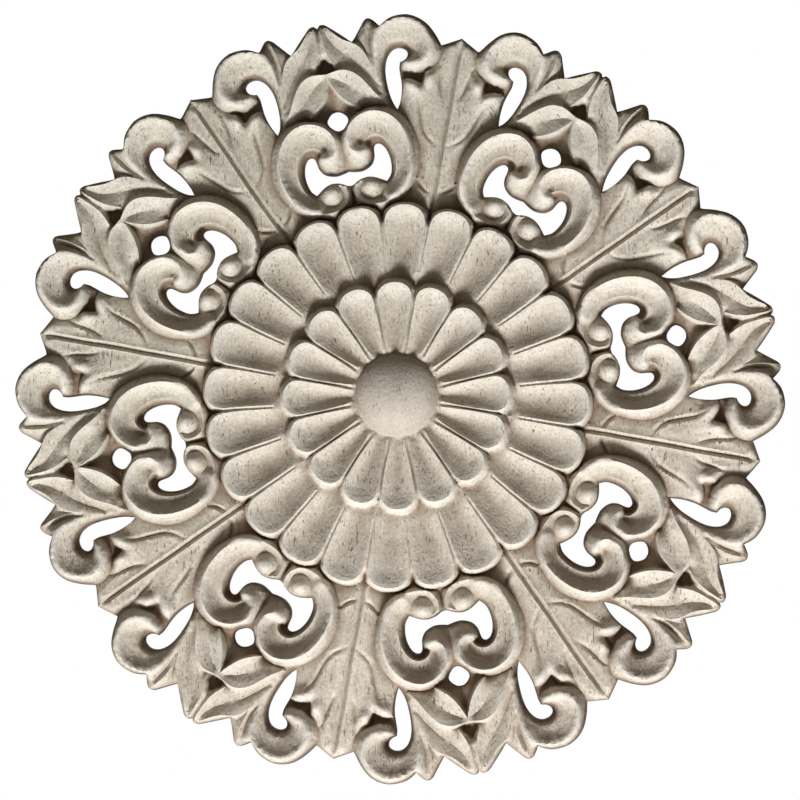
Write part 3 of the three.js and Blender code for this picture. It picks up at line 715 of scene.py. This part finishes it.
def cut_grooves(verts, heights, edge):
    """The surface with the rib and the veins cut into it, all but its edges."""
    z = heights.copy()
    rib_line = np.array([polar(181, HALF_UNIT), polar(RIB_LENGTH, HALF_UNIT)])
    dist, along = distance_to(verts, rib_line)
    ends = np.clip((1 - along) * 8, 0, 1) * np.clip(along * 8, 0, 1)
    z += RIB_LIP * np.exp(-((dist - 3.8) / 1.8) ** 2) * ends
    z -= RIB_GROOVE_DEPTH * np.clip(1 - dist / RIB_GROOVE_REACH, 0, 1) * np.clip((1 - along) * 12, 0, 1)
    for vein in VEINS:
        line, _ = smooth_run(vein, [0] * len(vein), 2)
        dist, along = distance_to(verts, line)
        swell = np.sin(np.pi * np.clip(along, 0.02, 0.98))
        z += VEIN_LIP * np.exp(-((dist - 3.6) / 1.6) ** 2) * swell
        z -= VEIN_DEPTH * np.clip(1 - dist / VEIN_REACH, 0, 1) * swell ** 0.6
    return np.clip(np.where(edge, heights, z), THINNEST, BUTTON_HEIGHT)


def hollowness(z, pairs):
    """How far the surface lies below the wood around it."""
    n = len(z)
    first, second = pairs[:, 0], pairs[:, 1]
    count = np.bincount(pairs.ravel(), minlength=n)
    smooth = z.copy()
    for _ in range(HOLLOW_ROUNDS):
        total = np.bincount(first, smooth[second], n) + np.bincount(second, smooth[first], n)
        smooth = 0.5 * smooth + 0.5 * total / np.maximum(count, 1)
    return smooth - z


def build_half():
    """The carved face of the half unit: plan, triangles, heights, hollowness and what lies on each side."""
    verts, tri, drawn, sides = triangulate(draw_half())
    target, weight, sharp, edge = known_heights(verts, drawn)
    pairs = np.vstack([tri[:, [0, 1]], tri[:, [1, 2]], tri[:, [2, 0]]])
    pairs = np.unique(np.sort(pairs, axis=1), axis=0)
    z = cut_grooves(verts, smoothest(pairs, target, weight, sharp, sides), edge)
    return verts, tri, z, hollowness(z, pairs), sides


def open_edges(tri):
    seen = {}
    for a, b, c in tri:
        for e in ((a, b), (b, c), (c, a)):
            if (e[1], e[0]) in seen:
                del seen[(e[1], e[0])]
            else:
                seen[e] = True
    return list(seen)


def drafted(verts, border, on_axis, on_rib):
    """The plan of the carved face, drawn in from that of the back, for the slant of the walls."""
    normal = np.zeros_like(verts)
    for a, b in border:
        along = verts[b] - verts[a]
        normal[a] += (-along[1], along[0])
        normal[b] += (-along[1], along[0])
    rim = np.array(sorted({i for e in border for i in e}))
    normal /= np.maximum(np.linalg.norm(normal, axis=1), 1e-9)[:, None]
    moved = verts.copy()
    for start in range(0, len(verts), 500):
        block = verts[start:start + 500]
        gap = np.sqrt(((block[:, None] - verts[rim][None]) ** 2).sum(2))
        share = np.clip(1 - gap / DRAFT_REACH, 0, 1) ** 3 + 1e-12
        pull = (normal[rim][None] * share[:, :, None]).sum(1) / share.sum(1)[:, None]
        near = np.clip(1 - gap.min(1) / DRAFT_REACH, 0, 1)
        moved[start:start + 500] = block + DRAFT * pull * near[:, None]
    moved[on_axis, 0] = 0
    off = moved @ RIB_NORMAL
    moved[on_rib] -= off[on_rib][:, None] * RIB_NORMAL
    return moved


def back_triangles(verts, tri, rim, border):
    """Triangles of the flat back, on the points of the rim and on the centre, which is counted after them."""
    place = {i: k for k, i in enumerate(rim)}
    edges = [(place[a], place[b]) for a, b in border]
    flat = [Vector(verts[i]) for i in rim] + [Vector((0, 0))]
    out = delaunay_2d_cdt(flat, edges, [], 0, 1e-4)
    corners = np.array([tuple(v) for v in out[0]])
    owner = [ids[0] for ids in out[3]]
    top = verts[tri]
    low, high = top.min(axis=1), top.max(axis=1)
    found = []
    for f in out[2]:
        if len(f) != 3:
            continue
        size = twice_area(*corners[list(f)])
        if abs(size) < 1e-6:
            continue
        # holes of the back are those places that no top triangle covers
        c = corners[list(f)].mean(axis=0)
        p, q, r = top[((low <= c) & (high >= c)).all(axis=1)].transpose(1, 0, 2)
        turns = np.array([twice_area(p, q, c), twice_area(q, r, c), twice_area(r, p, c)])
        if (turns >= -1e-9).all(axis=0).any():
            ids = [owner[i] for i in f]
            found.append(ids[::-1] if size > 0 else ids)
    return found


def close_half():
    """The half unit as a shell, open only on its straight sides: plan, heights, hollowness for the painted
    shade and faces.
    """
    verts, tri, z, hollow, sides = build_half()
    border = [e for e in open_edges(tri) if not any(side[e[0]] and side[e[1]] for side in sides)]
    face = drafted(verts, border, *sides)
    rim = sorted({i for e in border for i in e})
    # points: the face, then a ring part of the way down the wall, then the back's border, then the centre
    mid = {i: len(verts) + k for k, i in enumerate(rim)}
    back = {i: len(verts) + len(rim) + k for k, i in enumerate(rim)}
    bend = (1 - BEND_OUT) * face[rim] + BEND_OUT * verts[rim]
    plan = np.vstack([face, bend, verts[rim], [[0, 0]]])
    height = np.concatenate([z, z[rim] * BEND_HEIGHT, np.zeros(len(rim)), [0]])
    hollow[rim] = np.maximum(hollow[rim], WALL_DIRT)
    cavity = np.concatenate([hollow, np.full(len(rim), WALL_DIRT), np.zeros(len(rim)), [0]])
    faces = [tuple(t) for t in tri]
    for a, b in border:
        faces += [(b, a, mid[a], mid[b]), (mid[b], mid[a], back[a], back[b])]
    back_base = len(verts) + len(rim)
    faces += [tuple(back_base + i for i in ids) for ids in back_triangles(verts, tri, rim, border)]
    return plan, height, cavity, faces


def build_mesh():
    """The whole rosette in metres: every unit in its place, as two mirrored halves."""
    plan, height, cavity, faces = close_half()
    all_plan, all_faces = [], []
    for unit in range(UNITS):
        angle = HALF_UNIT + 2 * HALF_UNIT * unit
        cos, sin = math.cos(angle), math.sin(angle)
        for mirror in (1, -1):
            x, y = plan[:, 0] * mirror, plan[:, 1]
            base = len(all_plan) * len(plan)
            all_plan.append(np.column_stack([x * cos + y * sin, y * cos - x * sin]))
            all_faces += [[base + i for i in f[::mirror]] for f in faces]
    all_height = np.tile(height, 2 * UNITS) / 1000
    all_plan = np.vstack(all_plan) * SQUARE / 1000
    co = np.column_stack([all_plan[:, 0], -all_height, all_plan[:, 1]])
    # points shared by neighbouring halves are made one
    rounded = np.round(co * 2e6).astype(np.int64)
    _, first, inverse = np.unique(rounded, axis=0, return_index=True, return_inverse=True)
    inverse = inverse.reshape(-1).tolist()
    merged = [[inverse[i] for i in f] for f in all_faces]
    merged = [f for f in merged if len(set(f)) == len(f)]
    return co[first], merged, np.tile(cavity, 2 * UNITS)[first]


def uneven(co):
    """The small unevenness of hand work: lines wander and depths vary, the same at front and back."""
    x, z = co[:, 0] * 1000, co[:, 2] * 1000
    out = co.copy()

    def wave(seed, scale):
        total = np.zeros(len(x))
        for k in range(5):
            a = seed * 1.7 + k * 2.399
            f = 2 * math.pi / (scale * (0.75 + 0.17 * k))
            total += np.sin(f * (x * math.cos(a) + z * math.sin(a)) + seed * 5.1 + k * 1.3)
        return total / 2.2
    out[:, 0] += wave(1, 34) * WANDER
    out[:, 2] += wave(2, 31) * WANDER
    depth = -out[:, 1]
    lift = wave(3, 45) * LONG_LIFT + wave(4, 14) * SHORT_LIFT
    out[:, 1] = -(depth + lift * np.clip(depth / 0.006, 0, 1))
    return out


co, faces, cavity = build_mesh()
co = uneven(co)
low, high = np.array(CAD_BOX[0]), np.array(CAD_BOX[1])
co = np.clip(co, low + 2e-5, high - 2e-5 * np.array([1, 0, 1]))
co[:, 1] = np.minimum(co[:, 1], high[1])

mesh = bpy.data.meshes.new("rosette")
mesh.from_pydata(co.tolist(), [], faces)
mesh.validate()
mesh.update()
attribute = mesh.attributes.new("hollow", "FLOAT", "POINT")
attribute.data.foreach_set("value", cavity.astype(np.float32))
attribute = mesh.attributes.new("wall", "FLOAT", "FACE")
attribute.data.foreach_set("value", [1.0 if len(face.vertices) == 4 else 0.0 for face in mesh.polygons])
rosette = bpy.data.objects.new("rosette", mesh)
bpy.context.scene.collection.objects.link(rosette)
mesh.shade_smooth()
mesh.set_sharp_from_angle(angle=math.radians(50))

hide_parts("carved_rosette")
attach(rosette, "root")

# Material: bare pale wood, with painted shade in its hollows and painted highlights on its crests

DARK_GROUND, PALE_GROUND = (0.56, 0.505, 0.43), (0.71, 0.66, 0.585)
COOL_TINT, WARM_TINT = (0.97, 1.0, 0.99), (1.0, 0.975, 0.955)
PORE = (0.13, 0.095, 0.06)
BUTTON_DARKER = (0.36, 0.31, 0.26)
PINHOLE = (0.03, 0.02, 0.015)
HOLLOW_SHADE_BROWN = (0.215, 0.142, 0.088)
CREST_HIGHLIGHT_PALE = (0.83, 0.80, 0.735)
SAWN_WALL = (0.10, 0.07, 0.047)
BUTTON_CENTRE = (0, -0.017, 0)
PINHOLES = ((-0.0652, 0.0018), (-0.0532, -0.0006))
PIN_DEPTH = -0.0031

material = bpy.data.materials.new("bare_pale_wood")
material.use_nodes = True
tree = material.node_tree
links = tree.links
shader = tree.nodes["Principled BSDF"]
coords = tree.nodes.new("ShaderNodeTexCoord")
turn = tree.nodes.new("ShaderNodeMapping")
turn.inputs["Rotation"].default_value = (0, ROLL, 0)
links.new(coords.outputs["Object"], turn.inputs["Vector"])


def noise(scale, detail, rough):
    """A noise with a scale of its own along each axis, of which the last one runs with the grain."""
    stretch = tree.nodes.new("ShaderNodeMapping")
    stretch.inputs["Scale"].default_value = scale
    links.new(turn.outputs["Vector"], stretch.inputs["Vector"])
    item = tree.nodes.new("ShaderNodeTexNoise")
    item.inputs["Scale"].default_value = 1.0
    item.inputs["Detail"].default_value = detail
    item.inputs["Roughness"].default_value = rough
    links.new(stretch.outputs["Vector"], item.inputs["Vector"])
    return item.outputs["Fac"]


def remap(value, a, b, c=0.0, d=1.0):
    item = tree.nodes.new("ShaderNodeMapRange")
    item.inputs["From Min"].default_value = a
    item.inputs["From Max"].default_value = b
    item.inputs["To Min"].default_value = c
    item.inputs["To Max"].default_value = d
    links.new(value, item.inputs["Value"])
    return item.outputs["Result"]


def mix(a, b, fac, mode="MIX"):
    item = tree.nodes.new("ShaderNodeMix")
    item.data_type = "RGBA"
    item.blend_type = mode
    for socket, value in (("A", a), ("B", b)):
        target = [s for s in item.inputs if s.name == socket and s.type == "RGBA"][0]
        if isinstance(value, tuple):
            target.default_value = (*value, 1)
        else:
            links.new(value, target)
    if isinstance(fac, float):
        item.inputs[0].default_value = fac
    else:
        links.new(fac, item.inputs[0])
    return [s for s in item.outputs if s.type == "RGBA"][0]


def math_node(operation, a, b):
    item = tree.nodes.new("ShaderNodeMath")
    item.operation = operation
    for socket, value in zip(item.inputs, (a, b)):
        if isinstance(value, (int, float)):
            socket.default_value = value
        else:
            links.new(value, socket)
    return item.outputs[0]


broad = noise((14, 14, 3.2), 3, 0.5)
grain = noise((420, 420, 26), 3, 0.6)
fine = noise((1500, 1500, 190), 3, 0.65)
fuzz = noise((1000, 1000, 800), 3, 0.6)
mottle = noise((170, 170, 120), 5, 0.65)
pores = noise((1700, 1700, 260), 1, 0.4)
pore_area = noise((90, 90, 60), 2, 0.5)

colour = mix(DARK_GROUND, PALE_GROUND, remap(broad, 0.35, 0.65))
layers = (
    # colour, pattern, where it starts and is full, strength
    ((0.40, 0.335, 0.25), grain, 0.55, 0.85, 0.4),
    ((0.76, 0.72, 0.64), fine, 0.50, 0.75, 0.4),
    ((0.36, 0.30, 0.22), fine, 0.48, 0.25, 0.35),
    ((0.80, 0.77, 0.69), fuzz, 0.50, 0.75, 0.6),
    ((0.34, 0.28, 0.20), fuzz, 0.48, 0.25, 0.5),
    ((0.40, 0.34, 0.25), mottle, 0.50, 0.75, 0.55),
)
for shade, pattern, start, full, strength in layers:
    colour = mix(colour, shade, remap(pattern, start, full, 0.0, strength))

# a cooler tone at the upper left and a warmer one at the lower right, and the pores
corner = tree.nodes.new("ShaderNodeSeparateXYZ")
links.new(coords.outputs["Object"], corner.inputs["Vector"])
across = math_node("SUBTRACT", corner.outputs["X"], corner.outputs["Z"])
tint = mix(COOL_TINT, WARM_TINT, remap(across, -0.17, 0.17))
colour = mix(colour, tint, 1.0, "MULTIPLY")
pore_mask = math_node("MULTIPLY", remap(pores, 0.66, 0.74), remap(pore_area, 0.40, 0.60, 0.25, 1.0))
colour = mix(colour, PORE, math_node("MULTIPLY", pore_mask, 0.9))


def distance_from(vector, place):
    item = tree.nodes.new("ShaderNodeVectorMath")
    item.operation = "DISTANCE"
    links.new(vector, item.inputs[0])
    item.inputs[1].default_value = place
    return item.outputs["Value"]


def attribute_value(name):
    item = tree.nodes.new("ShaderNodeAttribute")
    item.attribute_name = name
    return item.outputs["Fac"]


# the button painted darker, the two pinholes, and painted shade that darkens a place by how far it lies below
# the wood around it
# the whole button is painted darker
button_darker = remap(distance_from(coords.outputs["Object"], BUTTON_CENTRE), 0.0157, 0.0163, 0.5, 0.0)
colour = mix(colour, BUTTON_DARKER, button_darker)
flat = tree.nodes.new("ShaderNodeMapping")
flat.inputs["Scale"].default_value = (1, 0.3, 1)
links.new(coords.outputs["Object"], flat.inputs["Vector"])
for pin_x, pin_z in PINHOLES:
    away = distance_from(flat.outputs["Vector"], (pin_x, PIN_DEPTH, pin_z))
    colour = mix(colour, PINHOLE, remap(away, 0.00045, 0.0008, 1.0, 0.0))
# painted shade: a place is made browner and darker by how far it lies below the wood around it; on the walls
# this also stands for their own dirt
hollow = attribute_value("hollow")
hollow_shade = remap(hollow, 0.2, 2.9)
colour = mix(colour, HOLLOW_SHADE_BROWN, math_node("MULTIPLY", hollow_shade, 0.9))
# painted highlight: places that stand above the wood around them are made paler
crest_highlight = remap(hollow, -0.3, -2.0)
colour = mix(colour, CREST_HIGHLIGHT_PALE, math_node("MULTIPLY", crest_highlight, 0.45))
colour = mix(colour, SAWN_WALL, math_node("MULTIPLY", attribute_value("wall"), 0.85))
links.new(colour, shader.inputs["Base Color"])
roughness = remap(grain, 0.3, 0.8, 0.62, 0.82)
links.new(roughness, shader.inputs["Roughness"])
shader.inputs["Specular IOR Level"].default_value = 0.35
relief = math_node("ADD", math_node("MULTIPLY", fine, 0.5), math_node("MULTIPLY", mottle, 1.2))
relief = math_node("ADD", relief, math_node("MULTIPLY", fuzz, 0.8))
relief = math_node("SUBTRACT", relief, math_node("MULTIPLY", pore_mask, 0.8))
bump = tree.nodes.new("ShaderNodeBump")
bump.inputs["Strength"].default_value = 0.8
bump.inputs["Distance"].default_value = 0.0005
links.new(relief, bump.inputs["Height"])
links.new(bump.outputs["Normal"], shader.inputs["Normal"])
rosette.data.materials.append(material)

# Floor, light and camera

UP = Vector((-math.sin(ROLL), 0, math.cos(ROLL)))
RIGHT = Vector((math.cos(ROLL), 0, math.sin(ROLL)))
FRONT = Vector((0, -1, 0))

bpy.ops.mesh.primitive_plane_add(size=16, location=(0, 0, -3.4))
floor = bpy.context.object
floor.name = "floor"
floor_material = bpy.data.materials.new("pale_floor")
floor_material.use_nodes = True
floor_shader = floor_material.node_tree.nodes["Principled BSDF"]
for socket, value in (("Base Color", (0.85, 0.85, 0.84, 1)), ("Roughness", 0.9),
                      ("Emission Color", (1.0, 0.98, 0.95, 1)), ("Emission Strength", 0.4)):
    floor_shader.inputs[socket].default_value = value
floor.data.materials.append(floor_material)

world = bpy.data.worlds.new("studio")
bpy.context.scene.world = world
world.use_nodes = True
wt = world.node_tree
wt.nodes.clear()
out = wt.nodes.new("ShaderNodeOutputWorld")
path = wt.nodes.new("ShaderNodeLightPath")
lit = wt.nodes.new("ShaderNodeBackground")
lit.inputs["Color"].default_value = (1.0, 0.75, 0.50, 1)
lit.inputs["Strength"].default_value = 0.060
white = wt.nodes.new("ShaderNodeBackground")
white.inputs["Color"].default_value = (1, 1, 1, 1)
white.inputs["Strength"].default_value = 1.0
blend = wt.nodes.new("ShaderNodeMixShader")
wt.links.new(path.outputs["Is Camera Ray"], blend.inputs["Fac"])
wt.links.new(lit.outputs["Background"], blend.inputs[1])
wt.links.new(white.outputs["Background"], blend.inputs[2])
wt.links.new(blend.outputs["Shader"], out.inputs["Surface"])


def area_light(name, place, size, power, colour):
    data = bpy.data.lights.new(name, "AREA")
    data.shape = "DISK"
    data.size = size
    data.energy = power
    data.color = colour
    lamp = bpy.data.objects.new(name, data)
    lamp.location = place
    lamp.rotation_euler = (-place).to_track_quat("-Z", "Y").to_euler()
    bpy.context.scene.collection.objects.link(lamp)
    return lamp


area_light("key", (FRONT * 0.61 - UP * 0.81 + RIGHT * 0.03) * 3, 0.75, 112.0, (1.0, 1.0, 0.995))
area_light("fill", FRONT * 1.3 + UP * 0.2, 1.2, 0.45, (1.0, 0.84, 0.66))
area_light("back", -FRONT * 2.4, 1.6, 34.0, (1.0, 0.97, 0.93))

# The photograph's frame is 800 pixels across, and one pixel covers one square
SENSOR = 36
PHOTO_SQUARES = 800
DISTANCE = 1.3
SIDE_TILT = math.radians(3.0)
LOW_TILT = math.radians(3.0)
aim = Vector((0, -0.008, 0)) + RIGHT * 0.0011 - UP * 0.00136
sight = (FRONT + RIGHT * math.tan(SIDE_TILT) - UP * math.tan(LOW_TILT)).normalized()
camera_data = bpy.data.cameras.new("camera")
camera = bpy.data.objects.new("camera", camera_data)
bpy.context.scene.collection.objects.link(camera)
camera.location = aim + sight * DISTANCE
side = UP.cross(sight).normalized()
true_up = sight.cross(side).normalized()
turned = Matrix((side, true_up, sight)).transposed().to_4x4()
camera.matrix_world = Matrix.Translation(camera.location) @ turned
camera_data.sensor_width = SENSOR
camera_data.lens = SENSOR * DISTANCE / (PHOTO_SQUARES * SQUARE / 1000)
bpy.context.scene.camera = camera
bpy.context.scene.view_settings.view_transform = "Standard"

bpy.context.view_layer.update()
